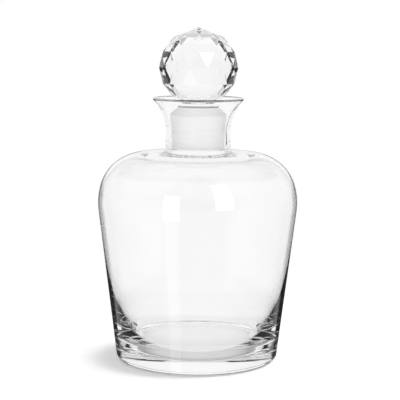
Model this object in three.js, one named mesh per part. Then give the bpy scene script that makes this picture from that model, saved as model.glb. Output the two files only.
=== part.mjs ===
// A clear glass carafe with a ground-in stopper that carries a cut glass ball.
// Millimetres, +Z up. The origin is on the axis, where the base meets the table.
import * as THREE from "three";
import { ConvexGeometry } from "three/addons/geometries/ConvexGeometry.js";

const deg = THREE.MathUtils.degToRad;

// Body: a straight wall that leans out to the haunch, then turns in over the shoulder.
const BODY_RADIUS = 63.3; // at the widest ring
const BODY_WIDEST_Z = 100.8;
const WALL_LEAN = deg(7);
const HAUNCH_RADIUS = 39.9; // arc that carries the wall past the widest ring
const HAUNCH_SWEEP = deg(17.2); // how far that arc climbs above it
const SHOULDER_RADIUS = 27.6;
const SHOULDER_SLOPE = deg(2); // what is left of the slope at the foot of the neck
const FOOT_ROUNDING = 4;

// Glass thickness, and the bowl that closes the inside above the heavy base.
const BODY_WALL = 2;
const SHOULDER_WALL = 2.4; // under the foot of the neck
const FLOOR_THICKNESS = 8;
const FLOOR_RIM = 19.7; // from the outer wall in to the flat part of the inner floor
const BOWL_DROP = 18.8; // the wall keeps its thickness this far below the widest ring
const BOWL_WALL_PULL = 46; // how far the bowl's curve is drawn along the wall
const BOWL_FLOOR_PULL = 14.5; // and how far along the floor

// Neck and flared pouring lip.
const NECK_RADIUS = 20.6;
const NECK_STRAIGHT = 13.3; // upright part, from the shoulder to the flare
const NECK_FOOT_ROUNDING = 3;
const FLARE_RADIUS = 29.6;
const LIP_RADIUS = 28.6; // over the rounded edge
const LIP_THICKNESS = 1.6;

// Ground joint: the plug's cone, and the seat that is cut to match it in the neck.
const PLUG_BOTTOM_RADIUS = 16.7;
const PLUG_TOP_RADIUS = 18;
const PLUG_LENGTH = 21.3;
const PLUG_EDGE = 0.4; // bevel on the bottom edge
const PLUG_TOP_ROUNDING = 1;
const SEAT_CLEARANCE = 0.3;
const SEAT_LENGTH = 8.3; // above it the inside flares out to the lip
const SEAT_OVERHANG = 1.3; // the seat goes on this far below the plug
const THROAT_ROUNDING = 3.5; // inner edge where the neck opens into the body

// Stopper head.
const PLUG_SHOULDER_HEIGHT = 5.4; // cone from the plug's top edge in to the collar
const COLLAR_RADIUS = 13;
const COLLAR_HEIGHT = 3.1;
const BALL_RADIUS = 25; // over the corners
const BALL_FLAT_CUT = 3.7; // how far in from the lower pole the bonded flat is cut
const BALL_FOLD = 7; // facets that meet at the pole
const BALL_RINGS = [deg(41), deg(66.4), deg(90)]; // corner rings, as angles from the pole

const TURNED_SIDES = 64; // flats round each turned solid
const ARC_SAG = 0.05; // how far a straight piece of an outline may cut inside its arc

const polar = (centre, radius, angle) =>
  new THREE.Vector2(centre.x + radius * Math.cos(angle), centre.y + radius * Math.sin(angle));

// Points of an arc from one angle to another, both ends included.
function arc(centre, radius, from, to) {
  const largestStep = 2 * Math.acos(1 - ARC_SAG / radius);
  const steps = Math.ceil(Math.abs(to - from) / largestStep);
  return Array.from({ length: steps + 1 }, (_, i) =>
    polar(centre, radius, THREE.MathUtils.lerp(from, to, i / steps)));
}

// Turns an outline (radius, height) that starts and ends on the axis into a solid.
function turn(outline) {
  const corners = outline.filter((p, i) => i === 0 || p.distanceTo(outline[i - 1]) > 1e-4);
  return new THREE.LatheGeometry(corners, TURNED_SIDES).rotateX(Math.PI / 2);
}

// The outer wall and the shoulder are straight lines with arcs between them. These two
// give a point's place on a line parallel to each, set in by some thickness.
const haunchCentre = new THREE.Vector2(BODY_RADIUS - HAUNCH_RADIUS, BODY_WIDEST_Z);
const shoulderCentre = polar(haunchCentre, HAUNCH_RADIUS - SHOULDER_RADIUS, HAUNCH_SWEEP);

function wallRadius(height, inset) {
  const start = polar(haunchCentre, HAUNCH_RADIUS - inset, -WALL_LEAN);
  return start.x + (height - start.y) * Math.tan(WALL_LEAN);
}

function shoulderHeight(radius, inset) {
  const start = polar(shoulderCentre, SHOULDER_RADIUS - inset, Math.PI / 2 - SHOULDER_SLOPE);
  return start.y + (start.x - radius) * Math.tan(SHOULDER_SLOPE);
}

// The joint's cone: the seat runs parallel to the plug, one clearance away. Its lower end
// is where the throat's rounding leaves the underside of the shoulder.
const taper = Math.atan((PLUG_TOP_RADIUS - PLUG_BOTTOM_RADIUS) / PLUG_LENGTH);
const seatFoot = new THREE.Vector2();
seatFoot.x = PLUG_BOTTOM_RADIUS + SEAT_CLEARANCE - SEAT_OVERHANG * Math.tan(taper);
const throatCentre = new THREE.Vector2();
throatCentre.x = seatFoot.x + THROAT_ROUNDING * Math.cos(taper);
throatCentre.y = shoulderHeight(throatCentre.x, SHOULDER_WALL - THROAT_ROUNDING);
seatFoot.y = throatCentre.y + THROAT_ROUNDING * Math.sin(taper);
const plugZ = seatFoot.y + SEAT_OVERHANG;

function vesselOutline() {
  const footCentre = new THREE.Vector2(wallRadius(FOOT_ROUNDING, FOOT_ROUNDING), FOOT_ROUNDING);
  const neckFoot = new THREE.Vector2();
  neckFoot.x = NECK_RADIUS + NECK_FOOT_ROUNDING;
  neckFoot.y = shoulderHeight(neckFoot.x, -NECK_FOOT_ROUNDING);

  // The flare ends where its rounded edge reaches the lip's radius.
  const flareCentre = new THREE.Vector2();
  flareCentre.x = NECK_RADIUS + FLARE_RADIUS;
  flareCentre.y = shoulderHeight(NECK_RADIUS, 0) + NECK_STRAIGHT;
  const edge = LIP_THICKNESS / 2;
  const flareSweep = Math.acos((flareCentre.x + edge - LIP_RADIUS) / (FLARE_RADIUS + edge));
  const lipCentre = polar(flareCentre, FLARE_RADIUS + edge, Math.PI - flareSweep);

  // The inside leaves the lip and meets the top of the seat along one arc, without a kink.
  const lipInside = polar(lipCentre, edge, Math.PI - flareSweep);
  const seatTop = new THREE.Vector2(Math.tan(taper), 1).multiplyScalar(SEAT_LENGTH).add(seatFoot);
  const outward = new THREE.Vector2(Math.cos(taper), -Math.sin(taper));
  const rise = lipInside.clone().sub(seatTop);
  const mouthRadius = rise.lengthSq() / (2 * rise.dot(outward));
  const mouthCentre = outward.multiplyScalar(mouthRadius).add(seatTop);
  const mouthStart = lipInside.clone().sub(mouthCentre).angle();

  const bowlTop = new THREE.Vector2(0, BODY_WIDEST_Z - BOWL_DROP);
  bowlTop.x = wallRadius(bowlTop.y, BODY_WALL);
  const bowlFloor = new THREE.Vector2(0, FLOOR_THICKNESS);
  bowlFloor.x = wallRadius(FLOOR_THICKNESS, 0) - FLOOR_RIM;
  const alongWall = polar(bowlTop, -BOWL_WALL_PULL, Math.PI / 2 - WALL_LEAN);
  const alongFloor = polar(bowlFloor, BOWL_FLOOR_PULL, 0);
  const bowl = new THREE.CubicBezierCurve(bowlTop, alongWall, alongFloor, bowlFloor);

  const wallTurn = -WALL_LEAN;
  const shoulderTurn = Math.PI / 2 - SHOULDER_SLOPE;
  return [
    new THREE.Vector2(0, 0),
    ...arc(footCentre, FOOT_ROUNDING, -Math.PI / 2, wallTurn),
    ...arc(haunchCentre, HAUNCH_RADIUS, wallTurn, HAUNCH_SWEEP),
    ...arc(shoulderCentre, SHOULDER_RADIUS, HAUNCH_SWEEP, shoulderTurn),
    ...arc(neckFoot, NECK_FOOT_ROUNDING, shoulderTurn + Math.PI, Math.PI),
    ...arc(flareCentre, FLARE_RADIUS, Math.PI, Math.PI - flareSweep),
    ...arc(lipCentre, edge, -flareSweep, Math.PI - flareSweep),
    ...arc(mouthCentre, mouthRadius, mouthStart, Math.PI - taper),
    ...arc(throatCentre, THROAT_ROUNDING, Math.PI - taper, shoulderTurn + Math.PI),
    ...arc(shoulderCentre, SHOULDER_RADIUS - BODY_WALL, shoulderTurn, HAUNCH_SWEEP),
    ...arc(haunchCentre, HAUNCH_RADIUS - BODY_WALL, HAUNCH_SWEEP, wallTurn),
    ...bowl.getPoints(12),
    new THREE.Vector2(0, FLOOR_THICKNESS),
  ];
}

const plugTopZ = plugZ + PLUG_LENGTH;
const collarZ = plugTopZ + PLUG_SHOULDER_HEIGHT;
const bondZ = collarZ + COLLAR_HEIGHT;
const ballFlatDepth = BALL_RADIUS - BALL_FLAT_CUT;
const ballZ = bondZ + ballFlatDepth;

function plugOutline() {
  // The top edge is rounded where the ground cone turns in to the plug's own shoulder.
  const shoulderLean = Math.atan2(PLUG_SHOULDER_HEIGHT, PLUG_TOP_RADIUS - COLLAR_RADIUS);
  const shoulderTurn = Math.PI / 2 - shoulderLean;
  const cut = PLUG_TOP_ROUNDING * Math.tan((shoulderTurn + taper) / 2);
  const corner = new THREE.Vector2(PLUG_TOP_RADIUS, plugTopZ);
  const onCone = polar(corner, -cut, Math.PI / 2 - taper);
  const topCentre = polar(onCone, -PLUG_TOP_ROUNDING, -taper);
  return [
    new THREE.Vector2(0, plugZ),
    new THREE.Vector2(PLUG_BOTTOM_RADIUS - PLUG_EDGE, plugZ),
    new THREE.Vector2(PLUG_BOTTOM_RADIUS + PLUG_EDGE * Math.tan(taper), plugZ + PLUG_EDGE),
    ...arc(topCentre, PLUG_TOP_ROUNDING, -taper, shoulderTurn),
    new THREE.Vector2(COLLAR_RADIUS, collarZ),
    new THREE.Vector2(COLLAR_RADIUS, bondZ),
    new THREE.Vector2(0, bondZ),
  ];
}

// A cut ball is the hull of its corners: rings of 7 and 14 round the pole, half a step
// apart at the equator, the same again below, and a flat where the lowest facets are cut off.
function cutBall() {
  const corner = (ringAngle, turnAngle) => new THREE.Vector3(
    BALL_RADIUS * Math.sin(ringAngle) * Math.sin(turnAngle),
    -BALL_RADIUS * Math.sin(ringAngle) * Math.cos(turnAngle),
    BALL_RADIUS * Math.cos(ringAngle),
  );
  const ring = (ringAngle, count, offset = 0) => Array.from({ length: count }, (_, i) =>
    corner(ringAngle, ((i + offset) / count) * 2 * Math.PI));

  const [crown, upper, equator] = BALL_RINGS;
  const lowest = ring(Math.PI - crown, BALL_FOLD);
  const flat = lowest.map((p) => {
    const reach = BALL_FLAT_CUT / (BALL_RADIUS + p.z);
    return new THREE.Vector3(p.x * reach, p.y * reach, -ballFlatDepth);
  });
  return new ConvexGeometry([
    corner(0, 0),
    ...ring(crown, BALL_FOLD),
    ...ring(upper, 2 * BALL_FOLD),
    ...ring(equator, 2 * BALL_FOLD, 0.5),
    ...ring(Math.PI - upper, 2 * BALL_FOLD),
    ...lowest,
    ...flat,
  ]).translate(0, 0, ballZ);
}

function piece(name, geometry, look) {
  const mesh = new THREE.Mesh(geometry, new THREE.MeshStandardMaterial(look));
  mesh.name = name;
  return mesh;
}

const group = new THREE.Group();
group.name = "carafe";
group.add(
  piece("vessel", turn(vesselOutline()), { color: 0xe6ecee, roughness: 0.04, metalness: 0 }),
  piece("stopper_plug", turn(plugOutline()), { color: 0xd2d6d7, roughness: 0.6, metalness: 0 }),
  piece("stopper_ball", cutBall(), { color: 0xf1f5f6, roughness: 0.02, metalness: 0 }),
);

export default group;
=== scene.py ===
"""Looks of a clear glass carafe with a ground-in stopper that carries a cut glass ball.

Outlines are in millimetres, everything else is in metres. The photo's side of the carafe faces -Y.
"""

import math

import bmesh
import bpy
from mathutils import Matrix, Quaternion, Vector


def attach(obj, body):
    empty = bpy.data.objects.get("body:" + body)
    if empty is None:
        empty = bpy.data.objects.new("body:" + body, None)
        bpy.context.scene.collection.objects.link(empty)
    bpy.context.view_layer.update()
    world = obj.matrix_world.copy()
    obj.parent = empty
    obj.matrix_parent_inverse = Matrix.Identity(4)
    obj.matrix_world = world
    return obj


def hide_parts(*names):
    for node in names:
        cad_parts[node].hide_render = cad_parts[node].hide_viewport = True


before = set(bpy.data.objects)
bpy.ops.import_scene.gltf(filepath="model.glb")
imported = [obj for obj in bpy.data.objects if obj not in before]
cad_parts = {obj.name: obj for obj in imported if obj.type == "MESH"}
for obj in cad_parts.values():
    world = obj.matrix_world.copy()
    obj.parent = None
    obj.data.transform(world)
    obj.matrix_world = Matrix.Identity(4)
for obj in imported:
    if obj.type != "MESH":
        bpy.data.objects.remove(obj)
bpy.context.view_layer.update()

MM = 0.001

# --- The outlines' sizes, in millimetres: the CAD solids' own

BODY_RADIUS, BODY_WIDEST_Z = 63.3, 100.8
WALL_LEAN = math.radians(7)
HAUNCH_RADIUS, HAUNCH_SWEEP = 39.9, math.radians(17.2)
SHOULDER_RADIUS, SHOULDER_SLOPE = 27.6, math.radians(2)
FOOT_ROUNDING = 4
BODY_WALL, SHOULDER_WALL = 2, 2.4
FLOOR_THICKNESS, FLOOR_RIM = 8, 19.7
BOWL_DROP, BOWL_WALL_PULL, BOWL_FLOOR_PULL = 18.8, 46, 14.5
NECK_RADIUS, NECK_STRAIGHT, NECK_FOOT_ROUNDING = 20.6, 13.3, 3
FLARE_RADIUS, LIP_RADIUS, LIP_THICKNESS = 29.6, 28.6, 1.6
PLUG_BOTTOM_RADIUS, PLUG_TOP_RADIUS, PLUG_LENGTH = 16.7, 18, 21.3
PLUG_EDGE, PLUG_TOP_ROUNDING = 0.4, 1
SEAT_CLEARANCE, SEAT_LENGTH, SEAT_OVERHANG = 0.3, 8.3, 1.3
THROAT_ROUNDING = 3.5
PLUG_SHOULDER_HEIGHT, COLLAR_RADIUS, COLLAR_HEIGHT = 5.4, 13, 3.1

# The height of the collar's foot band, tinted dark as painted shade, and the gap that keeps the collar's top and
# the ball's flat from lying in one plane.
COLLAR_SHADE_BAND, BALL_GAP = 0.9, 0.03

# The arcs are those of the CAD, more finely stepped: by how far a step may cut inside its arc.
SAG, BOWL_STEPS, SIDES = 0.003, 60, 256
SAME_POINT = 1e-4


def polar(centre, radius, angle):
    return Vector((centre[0] + radius * math.cos(angle), centre[1] + radius * math.sin(angle)))


def arc(centre, radius, start, end):
    steps = math.ceil(abs(end - start) / (2 * math.acos(1 - SAG / radius)))
    return [polar(centre, radius, start + (end - start) * i / steps) for i in range(steps + 1)]


def bezier(a, b, c, d, steps):
    points = []
    for i in range(steps + 1):
        t = i / steps
        s = 1 - t
        points.append(a * s**3 + b * 3 * s * s * t + c * 3 * s * t * t + d * t**3)
    return points


haunch = Vector((BODY_RADIUS - HAUNCH_RADIUS, BODY_WIDEST_Z))
shoulder = polar(haunch, HAUNCH_RADIUS - SHOULDER_RADIUS, HAUNCH_SWEEP)


def wall_radius(height, inset):
    start = polar(haunch, HAUNCH_RADIUS - inset, -WALL_LEAN)
    return start.x + (height - start.y) * math.tan(WALL_LEAN)


def shoulder_height(radius, inset):
    start = polar(shoulder, SHOULDER_RADIUS - inset, math.pi / 2 - SHOULDER_SLOPE)
    return start.y + (start.x - radius) * math.tan(SHOULDER_SLOPE)


taper = math.atan((PLUG_TOP_RADIUS - PLUG_BOTTOM_RADIUS) / PLUG_LENGTH)
seat_foot_r = PLUG_BOTTOM_RADIUS + SEAT_CLEARANCE - SEAT_OVERHANG * math.tan(taper)
throat_r = seat_foot_r + THROAT_ROUNDING * math.cos(taper)
throat = Vector((throat_r, shoulder_height(throat_r, SHOULDER_WALL - THROAT_ROUNDING)))
seat_foot = Vector((seat_foot_r, throat.y + THROAT_ROUNDING * math.sin(taper)))
plug_z = seat_foot.y + SEAT_OVERHANG


def vessel_outline():
    """From the middle of the underside up the outside, over the lip, and down the inside to the inner floor."""
    foot = Vector((wall_radius(FOOT_ROUNDING, FOOT_ROUNDING), FOOT_ROUNDING))
    neck_foot_r = NECK_RADIUS + NECK_FOOT_ROUNDING
    neck_foot = Vector((neck_foot_r, shoulder_height(neck_foot_r, -NECK_FOOT_ROUNDING)))
    flare = Vector((NECK_RADIUS + FLARE_RADIUS, shoulder_height(NECK_RADIUS, 0) + NECK_STRAIGHT))
    edge = LIP_THICKNESS / 2
    sweep = math.acos((flare.x + edge - LIP_RADIUS) / (FLARE_RADIUS + edge))
    lip = polar(flare, FLARE_RADIUS + edge, math.pi - sweep)
    lip_inside = polar(lip, edge, math.pi - sweep)
    seat_top = seat_foot + Vector((math.tan(taper), 1)) * SEAT_LENGTH
    outward = Vector((math.cos(taper), -math.sin(taper)))
    rise = lip_inside - seat_top
    mouth_radius = rise.length_squared / (2 * rise.dot(outward))
    mouth = seat_top + outward * mouth_radius
    mouth_start = math.atan2(lip_inside.y - mouth.y, lip_inside.x - mouth.x)
    bowl_top_z = BODY_WIDEST_Z - BOWL_DROP
    bowl_top = Vector((wall_radius(bowl_top_z, BODY_WALL), bowl_top_z))
    bowl_floor = Vector((wall_radius(FLOOR_THICKNESS, 0) - FLOOR_RIM, FLOOR_THICKNESS))
    along_wall = polar(bowl_top, -BOWL_WALL_PULL, math.pi / 2 - WALL_LEAN)
    along_floor = bowl_floor + Vector((BOWL_FLOOR_PULL, 0))
    turn = math.pi / 2 - SHOULDER_SLOPE
    return [
        Vector((0, 0)),
        *arc(foot, FOOT_ROUNDING, -math.pi / 2, -WALL_LEAN),
        *arc(haunch, HAUNCH_RADIUS, -WALL_LEAN, HAUNCH_SWEEP),
        *arc(shoulder, SHOULDER_RADIUS, HAUNCH_SWEEP, turn),
        *arc(neck_foot, NECK_FOOT_ROUNDING, turn + math.pi, math.pi),
        *arc(flare, FLARE_RADIUS, math.pi, math.pi - sweep),
        *arc(lip, edge, -sweep, math.pi - sweep),
        *arc(mouth, mouth_radius, mouth_start, math.pi - taper),
        *arc(throat, THROAT_ROUNDING, math.pi - taper, turn + math.pi),
        *arc(shoulder, SHOULDER_RADIUS - BODY_WALL, turn, HAUNCH_SWEEP),
        *arc(haunch, HAUNCH_RADIUS - BODY_WALL, HAUNCH_SWEEP, -WALL_LEAN),
        *bezier(bowl_top, along_wall, along_floor, bowl_floor, BOWL_STEPS),
        Vector((0, FLOOR_THICKNESS)),
    ]


def plug_outline():
    """From the middle of the plug's bottom up the ground cone and the collar to the middle of the collar's top."""
    top = plug_z + PLUG_LENGTH
    lean = math.atan2(PLUG_SHOULDER_HEIGHT, PLUG_TOP_RADIUS - COLLAR_RADIUS)
    turn = math.pi / 2 - lean
    cut = PLUG_TOP_ROUNDING * math.tan((turn + taper) / 2)
    on_cone = polar((PLUG_TOP_RADIUS, top), -cut, math.pi / 2 - taper)
    rounding = polar(on_cone, -PLUG_TOP_ROUNDING, -taper)
    collar_foot = top + PLUG_SHOULDER_HEIGHT
    collar_top = collar_foot + COLLAR_HEIGHT - BALL_GAP
    return [
        Vector((0, plug_z)),
        Vector((PLUG_BOTTOM_RADIUS - PLUG_EDGE, plug_z)),
        Vector((PLUG_BOTTOM_RADIUS + PLUG_EDGE * math.tan(taper), plug_z + PLUG_EDGE)),
        *arc(rounding, PLUG_TOP_ROUNDING, -taper, turn),
        Vector((COLLAR_RADIUS, collar_foot)),
        Vector((COLLAR_RADIUS, collar_foot + COLLAR_SHADE_BAND)),
        Vector((COLLAR_RADIUS, collar_top)),
        Vector((0, collar_top)),
    ]


def turned(name, outline, *materials):
    """A smooth closed solid of revolution about Z from an outline that starts and ends on the axis."""
    corners = [p for i, p in enumerate(outline) if i == 0 or (p - outline[i - 1]).length > SAME_POINT]
    verts = [(0, 0, corners[0].y * MM)]
    for p in corners[1:-1]:
        for i in range(SIDES):
            a = 2 * math.pi * i / SIDES
            verts.append((p.x * MM * math.sin(a), -p.x * MM * math.cos(a), p.y * MM))
    verts.append((0, 0, corners[-1].y * MM))
    rings = len(corners) - 2
    last = len(verts) - 1
    last_ring = last - SIDES
    faces = []
    for i in range(SIDES):
        j = (i + 1) % SIDES
        faces.append((0, 1 + j, 1 + i))
        for k in range(rings - 1):
            a, b = 1 + k * SIDES, 1 + (k + 1) * SIDES
            faces.append((a + i, a + j, b + j, b + i))
        faces.append((last_ring + i, last_ring + j, last))
    mesh = bpy.data.meshes.new(name)
    mesh.from_pydata(verts, [], faces)
    mesh.shade_smooth()
    for material in materials:
        mesh.materials.append(material)
    obj = bpy.data.objects.new(name, mesh)
    bpy.context.collection.objects.link(obj)
    return obj


# --- Nodes


class Nodes:
    """A node tree, emptied, with short ways to add nodes and to join them.

    A value is a number, a tuple or the socket that gives it. A switch is 0 or 1.
    """

    def __init__(self, tree):
        self.nodes, self.links = tree.nodes, tree.links
        self.nodes.clear()

    def add(self, kind, inputs=(), **settings):
        made = self.nodes.new(kind)
        for key, value in settings.items():
            setattr(made, key, value)
        for key, value in dict(inputs).items():
            if isinstance(value, (int, float, tuple)):
                made.inputs[key].default_value = value
            else:
                self.links.new(value, made.inputs[key])
        return made

    def calc(self, operation, *values):
        return self.add("ShaderNodeMath", dict(enumerate(values)), operation=operation).outputs[0]

    def product(self, first, *others):
        """The values' product, which for switches means all of them."""
        for value in others:
            first = self.calc("MULTIPLY", first, value)
        return first

    def counts(self, number, low, high):
        """A switch: a whole number is from low to high."""
        return self.calc("COMPARE", number, (low + high) / 2, (high - low + 1) / 2)

    def over(self, number, limit):
        """A switch: a whole number is over the limit."""
        return self.calc("GREATER_THAN", number, limit + 0.5)

    def up_to(self, number, limit):
        """A switch: a whole number is the limit or less."""
        return self.calc("LESS_THAN", number, limit + 0.5)

    def choose(self, switch, off, on):
        return self.add("ShaderNodeMix", {0: switch, 2: off, 3: on}, data_type="FLOAT").outputs[0]

    def remap(self, value, start, end, low=0.0, high=1.0, kind="SMOOTHSTEP"):
        """low up to start, high from end on, and a slope between them."""
        sockets = {"Value": value, "From Min": start, "From Max": end, "To Min": low, "To Max": high}
        return self.add("ShaderNodeMapRange", sockets, interpolation_type=kind).outputs["Result"]

    def curve(self, value, points):
        """A float curve through (position, height) points, straight between them."""
        made = self.add("ShaderNodeFloatCurve", {"Value": value})
        line = made.mapping.curves[0]
        made.mapping.use_clip = False
        for position, height in points[1:-1]:
            line.points.new(position, height)
        for point, (position, height) in zip(line.points, points):
            point.location = (position, height)
            point.handle_type = "VECTOR"
        made.mapping.update()
        return made.outputs[0]

    def mix(self, share, first, second):
        """A shader that goes from the first to the second as share goes from 0 to 1."""
        return self.add("ShaderNodeMixShader", {0: share, 1: first, 2: second}).outputs[0]

    def transparent(self, **sockets):
        return self.add("ShaderNodeBsdfTransparent", sockets).outputs[0]

    def glow(self, strength):
        return self.add("ShaderNodeEmission", {"Strength": strength}).outputs[0]

    def light_path(self):
        return self.add("ShaderNodeLightPath").outputs

    def place(self):
        """A point's place in its object's own frame."""
        return self.add("ShaderNodeTexCoord").outputs["Object"]

    def split(self, vector):
        return self.add("ShaderNodeSeparateXYZ", {0: vector}).outputs

    def finish(self, surface):
        self.add("ShaderNodeOutputMaterial", {"Surface": surface})


def new_material(name):
    material = bpy.data.materials.new(name)
    material.use_nodes = True
    return material, Nodes(material.node_tree)


# --- Glass

BLOWN_IOR, CRYSTAL_IOR = 1.52, 1.55
NOISE_LOW, NOISE_HIGH = 0.3, 0.7


def glass(name, ior, tint, rough, grain, relief, shade=(0, 1, 0.95, 0.95)):
    """Glass whose faint noise sets its tint and roughness, each from low to high, and its relief in metres.

    grain is the noise's scale along x, y and z. Lamps shine through: shade is (low z, high z, share passed at
    each), because thick glass at the bottom throws a shadow and a thin wall hardly any.
    """
    material, n = new_material(name)
    place = n.place()
    spread = n.add("ShaderNodeMapping", {"Vector": place, "Scale": grain}).outputs[0]
    noise = n.add("ShaderNodeTexNoise", {"Vector": spread, "Scale": 1.0, "Detail": 3.0}).outputs[0]
    shader = n.add("ShaderNodeBsdfPrincipled", {
        "Base Color": n.remap(noise, NOISE_LOW, NOISE_HIGH, *tint, kind="LINEAR"),
        "Roughness": n.remap(noise, NOISE_LOW, NOISE_HIGH, *rough, kind="LINEAR"),
        "IOR": ior,
        "Transmission Weight": 1.0,
        "Normal": n.add("ShaderNodeBump", {"Height": noise, "Strength": 1.0, "Distance": relief}).outputs[0],
    }).outputs[0]
    lamp = n.light_path()["Is Shadow Ray"]
    n.finish(n.mix(lamp, shader, n.transparent(Color=n.remap(n.split(place)[2], *shade))))
    return material


# Blown glass is a little wavy, the cut ball is polished almost flat, and the plug has the rings that grinding
# leaves. Round the lip and at the foot of the collar the glass is tinted dark: painted shade for the dark lines
# that light bent in the glass draws there.
clear = glass("clear_glass", BLOWN_IOR, tint=(0.985, 1), rough=(0, 0.008), grain=(45, 45, 30), relief=2e-5,
              shade=(0.004, 0.02, 0.25, 1))
crystal = glass("cut_crystal", CRYSTAL_IOR, tint=(0.96, 0.98), rough=(0, 0.008), grain=(60, 60, 60), relief=8e-6)
frosted = glass("ground_glass", BLOWN_IOR, tint=(0.8, 0.92), rough=(0.36, 0.54), grain=(60, 60, 1500), relief=6e-5)
painted_shade_rim = glass("painted_shade_rim_glass", BLOWN_IOR, tint=(0.12, 0.35), rough=(0, 0.01), grain=(40, 40, 40), relief=4e-5)

# --- Pieces

# The lip's round edge, tinted dark as painted shade, takes in what lies within its radius of its centre ring, and a
# little for the stepping.
SHADED_LIP_REACH = 1.01
SHARP_ANGLE = math.radians(25)

vessel = turned("vessel_glass", vessel_outline(), clear, painted_shade_rim)
half_lip = LIP_THICKNESS / 2 * MM
lip_r, lip_z = LIP_RADIUS * MM - half_lip, max(v.co.z for v in vessel.data.vertices) - half_lip
# The lip's round edge takes the rim glass, whose dark tint is painted shade.
for face in vessel.data.polygons:
    if math.hypot(face.center.xy.length - lip_r, face.center.z - lip_z) < SHADED_LIP_REACH * half_lip:
        face.material_index = 1
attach(vessel, "vessel")
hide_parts("vessel")

plug = turned("plug_glass", plug_outline(), frosted, clear, painted_shade_rim)
collar_z = (plug_z + PLUG_LENGTH + PLUG_SHOULDER_HEIGHT) * MM
# The collar's lowest band takes the rim glass, whose dark tint is painted shade, and the rest of the collar clear
# glass.
for face in plug.data.polygons:
    if face.center.z > collar_z:
        face.material_index = 2 if face.center.z < collar_z + COLLAR_SHADE_BAND * MM else 1
plug.data.set_sharp_from_angle(angle=SHARP_ANGLE)
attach(plug, "stopper")
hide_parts("stopper_plug")

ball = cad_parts["stopper_ball"]
ball.data.materials.clear()
ball.data.materials.append(crystal)

# --- Studio: what stands in it
#
# Clear glass shows only its surroundings, so they differ by the path that light took. Glossy Depth counts how often
# the glass turned it back, and Transmission Depth how often it went through a surface: 2 is solid glass or one
# wall, and 4 or more is the hollow body. Diffuse Depth is over 0 for light that a matt surface scattered.

SOLID = 2
STAGE_SIDES = 96


def depths(paths):
    """How often light was turned back, went through a surface, and was scattered."""
    return paths["Glossy Depth"], paths["Transmission Depth"], paths["Diffuse Depth"]


def staged(name, height, shape, **sizes):
    """An object for the studio, and the nodes of its empty material."""
    mesh = bpy.data.meshes.new(name)
    edit = bmesh.new()
    shape(edit, segments=STAGE_SIDES, **sizes)
    edit.to_mesh(mesh)
    edit.free()
    obj = bpy.data.objects.new(name, mesh)
    obj.location.z = height
    bpy.context.collection.objects.link(obj)
    material, n = new_material(name)
    mesh.materials.append(material)
    return obj, n


# The table fades out into the white background. What shows through the glass is a pale glow that stands in for
# its lit top, with a painted shadow that makes it a little darker under the carafe, and, through solid glass, it is
# darker far out too. Light that the glass turned back misses the table.
TABLE_RADIUS, TABLE_DROP, TABLE_TONE = 0.6, 0.0002, 1.0
TABLE_FADE = 0.16, 0.26
UNDER_SHADOW_EDGE, UNDER_SHADOW_TONE = (0.045, 0.07), 0.86
FAR_EDGE, FAR_DIM = (0.1, 0.14), 0.5

table, n = staged("table", -TABLE_DROP, bmesh.ops.create_circle, cap_ends=True, radius=TABLE_RADIUS)
paths = n.light_path()
turns, crossed, scattered = depths(paths)
through = n.product(paths["Is Transmission Ray"], n.up_to(turns, 0))
lit = n.calc("MAXIMUM", paths["Is Camera Ray"], n.over(scattered, 0))
reach = n.add("ShaderNodeVectorMath", {0: n.place()}, operation="LENGTH").outputs["Value"]
gone = n.transparent()
matt = n.add("ShaderNodeBsdfDiffuse", {"Color": (TABLE_TONE, TABLE_TONE, TABLE_TONE, 1)}).outputs[0]
# Painted shadow: the glow seen through the glass is dimmer under the carafe.
shadowed_glow = n.remap(reach, *UNDER_SHADOW_EDGE, UNDER_SHADOW_TONE, 1.0)
dim = n.product(n.up_to(crossed, SOLID), n.remap(reach, *FAR_EDGE, 0.0, FAR_DIM, kind="LINEAR"))
plain = n.mix(through, n.mix(lit, gone, matt), n.glow(n.calc("SUBTRACT", shadowed_glow, dim)))
n.finish(n.mix(n.remap(reach, *TABLE_FADE), plain, gone))


def band(name, radius, low, high):
    """An upright ring round the carafe that casts no shadow. Returns its material's nodes."""
    size = {"radius1": radius, "radius2": radius, "depth": high - low}
    ring, n = staged(name, (low + high) / 2, bmesh.ops.create_cone, **size)
    ring.visible_shadow = False
    ring.visible_diffuse = False
    ring.visible_camera = False
    return n


def show(n, share, strength):
    """The material's end: it glows for the share of light that sees it and lets the rest through."""
    n.finish(n.mix(share, n.transparent(), n.glow(strength)))


# Two pale cards stand high behind the carafe, one to each side. They hide the studio's dark card from the shoulder,
# but not from the base, and only light that the glass has turned back once sees them.
CARD_RADIUS, CARD_LOW, CARD_HIGH = 0.2, 0.18, 0.295
CARD_FROM, CARD_TO = 0.09, 0.168
CARD_TONE = 0.95

n = band("pale_cards", CARD_RADIUS, CARD_LOW, CARD_HIGH)
turns, crossed, scattered = depths(n.light_path())
x, y = n.split(n.place())[:2]
beside = n.calc("COMPARE", n.calc("ABSOLUTE", x), (CARD_FROM + CARD_TO) / 2, (CARD_TO - CARD_FROM) / 2)
behind = n.calc("GREATER_THAN", y, 0.0)
seeing = n.product(n.counts(turns, 1, 1), n.counts(crossed, SOLID, SOLID), n.up_to(scattered, 0))
show(n, n.product(beside, behind, seeing), CARD_TONE)

# A pale ring stands round the neck. Light that the glass has turned back sees it from close by, and after more than
# a few turns sees only its lower part. Heights on it are from its middle.
RING_RADIUS, RING_LOW, RING_HIGH = 0.031, 0.129, 0.161
RING_TONE = 0.92
RING_FEW_TURNS = 2
RING_LOWER_PART = 0.007
RING_REACH = 0.024
# A dark gap in it, on the right and a little behind, draws the thin dark line inside the neck's right wall.
GAP_MIDDLE, GAP_HALF_WIDTH = 0.215, 0.05
GAP_FROM = -0.0115

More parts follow.
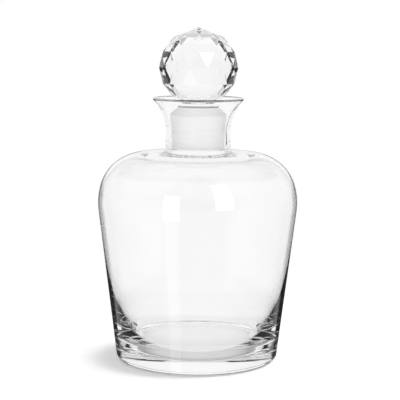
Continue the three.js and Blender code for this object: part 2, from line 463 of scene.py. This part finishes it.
n = band("pale_ring", RING_RADIUS, RING_LOW, RING_HIGH)
paths = n.light_path()
turns, crossed, scattered = depths(paths)
x, y, z = n.split(n.place())
many_turns = n.product(n.over(turns, RING_FEW_TURNS), n.calc("LESS_THAN", z, RING_LOWER_PART))
turned_back = n.calc("ADD", n.counts(turns, 1, RING_FEW_TURNS), many_turns)
close_by = n.calc("LESS_THAN", paths["Ray Length"], RING_REACH)
gap = n.product(
    n.calc("COMPARE", y, GAP_MIDDLE * RING_RADIUS, GAP_HALF_WIDTH * RING_RADIUS),
    n.calc("GREATER_THAN", x, 0.0),
    n.calc("GREATER_THAN", z, GAP_FROM),
    n.over(crossed, 0),
    n.counts(turns, 1, 1),
)
tone = n.calc("MULTIPLY_ADD", gap, -RING_TONE, RING_TONE)
show(n, n.product(turned_back, n.up_to(scattered, 0), close_by), tone)

# --- Studio: the room, which is the world
#
# Lists are (degrees, strength). Degrees of elevation run from -90, straight down, to 90. Degrees round run from 0,
# straight behind the carafe, to 180 in front of it, on both sides. A patch is (round from, to, elevation from, to).

# What the outer surface mirrors: below and above the horizon, which is a soft edge, then high up.
MIRROR_ROUND = ((0, 0.05), (36, 0.05), (42, 0.85), (50, 0.75), (57, 0.4), (100, 0.4), (140, 0.75), (180, 0.9))
MIRROR_ABOVE = ((0, 0.93), (50, 0.93), (75, 0.4), (180, 0.3))
MIRROR_HORIZON = -1.8, 2.7
MIRROR_HIGH_EDGE, MIRROR_HIGH_TONE = (14, 28), 0.95
LEFT_STRIP, LEFT_STRIP_TONE = (143, 156, -60, -15), 1.7

# What light sees that the glass has turned back once.
ONE_TURN = (
    (-90, 0.7), (-55, 0.65), (-44, 0.5), (-37, 0.35), (-29, 0.4), (-26, 0.95), (-10, 1), (16, 0.97), (25, 0.65),
    (38, 0.65), (50, 0.9), (90, 0.9),
)
# From solid glass it also sees a dim room in front and a dark card on each side of what is behind.
DARK_ROOM, DARK_ROOM_SOFT, DARK_ROOM_TONE = (150, 190, -25, 100), 20, 0.05
DARK_CARD, DARK_CARD_SOFT, DARK_CARD_TONE = (18, 42, 19.5, 38), 1.5, 0.0

# Turned back twice.
TWO_TURNS = ((-90, 0.6), (15, 0.58), (25, 0.4), (40, 0.55), (60, 0.8), (90, 0.8))

# Turned back more often: light panels all round on black. The list gives the panels' share of the way round.
MORE_TURNS = (
    (-90, 0.1), (-20, 0.15), (-17, 0), (-5, 0), (0, 0.28), (18, 0.3), (25, 0.48), (38, 0.67), (52, 0.52),
    (75, 0.36), (90, 0.36),
)
PANEL_COUNT, PANEL_CENTRE, PANEL_SOFT = 8, 33.5, 0.15
PANEL_DARK, PANEL_LIGHT = 0.0, 1.05
# One more panel, straight behind and above the horizon.
BEHIND_WITHIN, BEHIND_FROM = 22, 1.26
# After very many turns only the panels' upper part is left, and it is dimmer.
LATE_TURNS, LATE_FROM, LATE_SHARE = 7, 18.9, 0.6

# What shows straight through solid glass, with wider dark parts near the horizon. The hollow body shows white.
BACKDROP = ((0, 1), (46.5, 1), (48.5, 0), (56, 0), (58, 1), (180, 1))
BACKDROP_LEVEL = ((0, 1), (46.5, 1), (48.5, 0), (74, 0), (77, 1), (180, 1))
LEVEL_WITHIN = 8

AMBIENT = 0.7

world = bpy.data.worlds.new("studio")
bpy.context.scene.world = world
world.use_nodes = True
n = Nodes(world.node_tree)
paths = n.light_path()
turns, crossed, scattered = depths(paths)
x, y, z = n.split(n.add("ShaderNodeTexCoord").outputs["Generated"])
side = n.calc("ABSOLUTE", n.calc("ARCTAN2", x, y))
round_about = n.calc("DIVIDE", side, math.pi)
# The height of a direction above the horizon, as 0 straight down, 0.5 level and 1 straight up.
height = n.calc("ADD", n.calc("DIVIDE", n.calc("ARCSINE", z), math.pi), 0.5)


def at(elevation):
    """What height is at an elevation in degrees."""
    return 0.5 + elevation / 180


def by_elevation(points):
    return n.curve(height, [(at(e), v) for e, v in points])


def by_round(points):
    return n.curve(round_about, [(a / 180, v) for a, v in points])


def patch(round_from, round_to, from_elevation, to_elevation, soft=3):
    """1 in one part of the room and 0 elsewhere, with an edge soft degrees wide outside it."""
    a, b, c, d, s = round_from / 180, round_to / 180, at(from_elevation), at(to_elevation), soft / 180
    across = n.product(n.remap(round_about, a - s, a), n.remap(round_about, b, b + s, 1.0, 0.0))
    return n.product(across, n.product(n.remap(height, c - s, c), n.remap(height, d, d + s, 1.0, 0.0)))


solid = n.up_to(crossed, SOLID)

above = n.remap(height, at(MIRROR_HORIZON[0]), at(MIRROR_HORIZON[1]), kind="LINEAR")
mirror = n.choose(above, by_round(MIRROR_ROUND), by_round(MIRROR_ABOVE))
high_up = n.remap(height, at(MIRROR_HIGH_EDGE[0]), at(MIRROR_HIGH_EDGE[1]))
mirror = n.choose(high_up, mirror, MIRROR_HIGH_TONE)
on_left = n.calc("LESS_THAN", x, 0.0)
mirror = n.choose(n.product(on_left, patch(*LEFT_STRIP)), mirror, LEFT_STRIP_TONE)

one = by_elevation(ONE_TURN)
one = n.choose(n.product(solid, patch(*DARK_ROOM, DARK_ROOM_SOFT)), one, DARK_ROOM_TONE)
one = n.choose(n.product(solid, patch(*DARK_CARD, DARK_CARD_SOFT)), one, DARK_CARD_TONE)

two = by_elevation(TWO_TURNS)

edge = n.calc("COSINE", n.product(by_elevation(MORE_TURNS), math.pi))
wave = n.calc("COSINE", n.product(n.calc("SUBTRACT", side, math.radians(PANEL_CENTRE)), float(PANEL_COUNT)))
panels = n.remap(n.calc("SUBTRACT", wave, edge), -PANEL_SOFT, PANEL_SOFT, PANEL_DARK, PANEL_LIGHT)
behind = n.product(
    n.calc("LESS_THAN", side, math.radians(BEHIND_WITHIN)), n.calc("GREATER_THAN", height, at(BEHIND_FROM))
)
panels = n.calc("MAXIMUM", panels, n.product(behind, PANEL_LIGHT))
late = n.product(n.calc("GREATER_THAN", height, at(LATE_FROM)), LATE_SHARE)
more = n.choose(n.over(turns, LATE_TURNS), panels, n.product(panels, late))

inside = n.choose(n.over(turns, 1), one, n.choose(n.over(turns, 2), two, more))
turned_back = n.choose(n.up_to(crossed, 0), inside, mirror)

level = n.calc("LESS_THAN", n.calc("ABSOLUTE", n.calc("SUBTRACT", height, 0.5)), LEVEL_WITHIN / 180)
backdrop = n.choose(level, by_round(BACKDROP), by_round(BACKDROP_LEVEL))
straight = n.choose(solid, 1.0, backdrop)

seen = n.choose(n.over(turns, 0), straight, turned_back)
seen = n.choose(n.over(scattered, 0), seen, AMBIENT)
seen = n.choose(paths["Is Camera Ray"], seen, 1.0)
background = n.add("ShaderNodeBackground", {"Color": (1, 1, 1, 1), "Strength": seen}).outputs[0]
n.add("ShaderNodeOutputWorld", {"Surface": background})

# --- Studio: lamps

KEY_PLACE, KEY_SIZE, KEY_POWER = (1.9, 0.1, 1.6), 0.8, 40

# Windows are (degrees round from the front to the right, lowest and highest elevation, width).
WINDOWS = {"window_right": (32, 0, 54, 0.4), "window_left": (-31, -19, 25, 0.36)}
WINDOW_STRENGTH, WINDOW_DISTANCE = 2.6, 1.0
HAUNCH_FRONT = Vector((0, -0.06, 0.11))


def softbox(name, place, aim, size, power, only):
    """A rectangular lamp.

    only="diffuse" keeps its picture out of the glass, and only="gloss" shows just its reflection.
    """
    light = bpy.data.lights.new(name, "AREA")
    light.shape = "RECTANGLE"
    light.size, light.size_y = size
    light.energy = power
    lamp = bpy.data.objects.new(name, light)
    lamp.location = place
    lamp.rotation_mode = "QUATERNION"
    lamp.rotation_quaternion = (Vector(aim) - Vector(place)).to_track_quat("-Z", "Y")
    lamp.visible_transmission = False
    lamp.visible_glossy = only == "gloss"
    lamp.visible_diffuse = only == "diffuse"
    bpy.context.collection.objects.link(lamp)


def window(name, azimuth, low, high, width):
    """A tall upright softbox, placed where the haunch mirrors it, from elevation low to high."""
    azimuth, low, high = (math.radians(a) for a in (azimuth, low, high))
    way = Vector((math.sin(azimuth), -math.cos(azimuth), 0))
    bottom, top = (math.tan(a) * WINDOW_DISTANCE for a in (low, high))
    place = HAUNCH_FRONT + way * WINDOW_DISTANCE + Vector((0, 0, (bottom + top) / 2))
    size = (width * WINDOW_DISTANCE, top - bottom)
    softbox(name, place, place - way, size, WINDOW_STRENGTH * math.pi * size[0] * size[1], only="gloss")


softbox("key", KEY_PLACE, (0, 0, 0), (KEY_SIZE, KEY_SIZE), KEY_POWER, only="diffuse")
for name, sizes in WINDOWS.items():
    window(name, *sizes)

# --- Camera, at the photo's viewing angle

SENSOR_WIDTH, LENS = 36, 119.4
CAMERA_PLACE = (0.0015, -0.8387, 0.2139)
CAMERA_DOWN, CAMERA_ROLL = 7.597, 0.45
BOUNCES, TRANSPARENT_BOUNCES = 32, 16

scene = bpy.context.scene
cam = bpy.data.cameras.new("camera")
cam.sensor_width = SENSOR_WIDTH
cam.lens = LENS
camera = bpy.data.objects.new("camera", cam)
camera.location = CAMERA_PLACE
camera.rotation_mode = "QUATERNION"
pitch, roll = math.radians(90 - CAMERA_DOWN), math.radians(CAMERA_ROLL)
camera.rotation_quaternion = Quaternion((1, 0, 0), pitch) @ Quaternion((0, 0, 1), roll)
bpy.context.collection.objects.link(camera)
scene.camera = camera

scene.view_settings.view_transform = "Standard"
scene.cycles.max_bounces = BOUNCES
scene.cycles.glossy_bounces = BOUNCES
scene.cycles.transmission_bounces = BOUNCES
scene.cycles.transparent_max_bounces = TRANSPARENT_BOUNCES
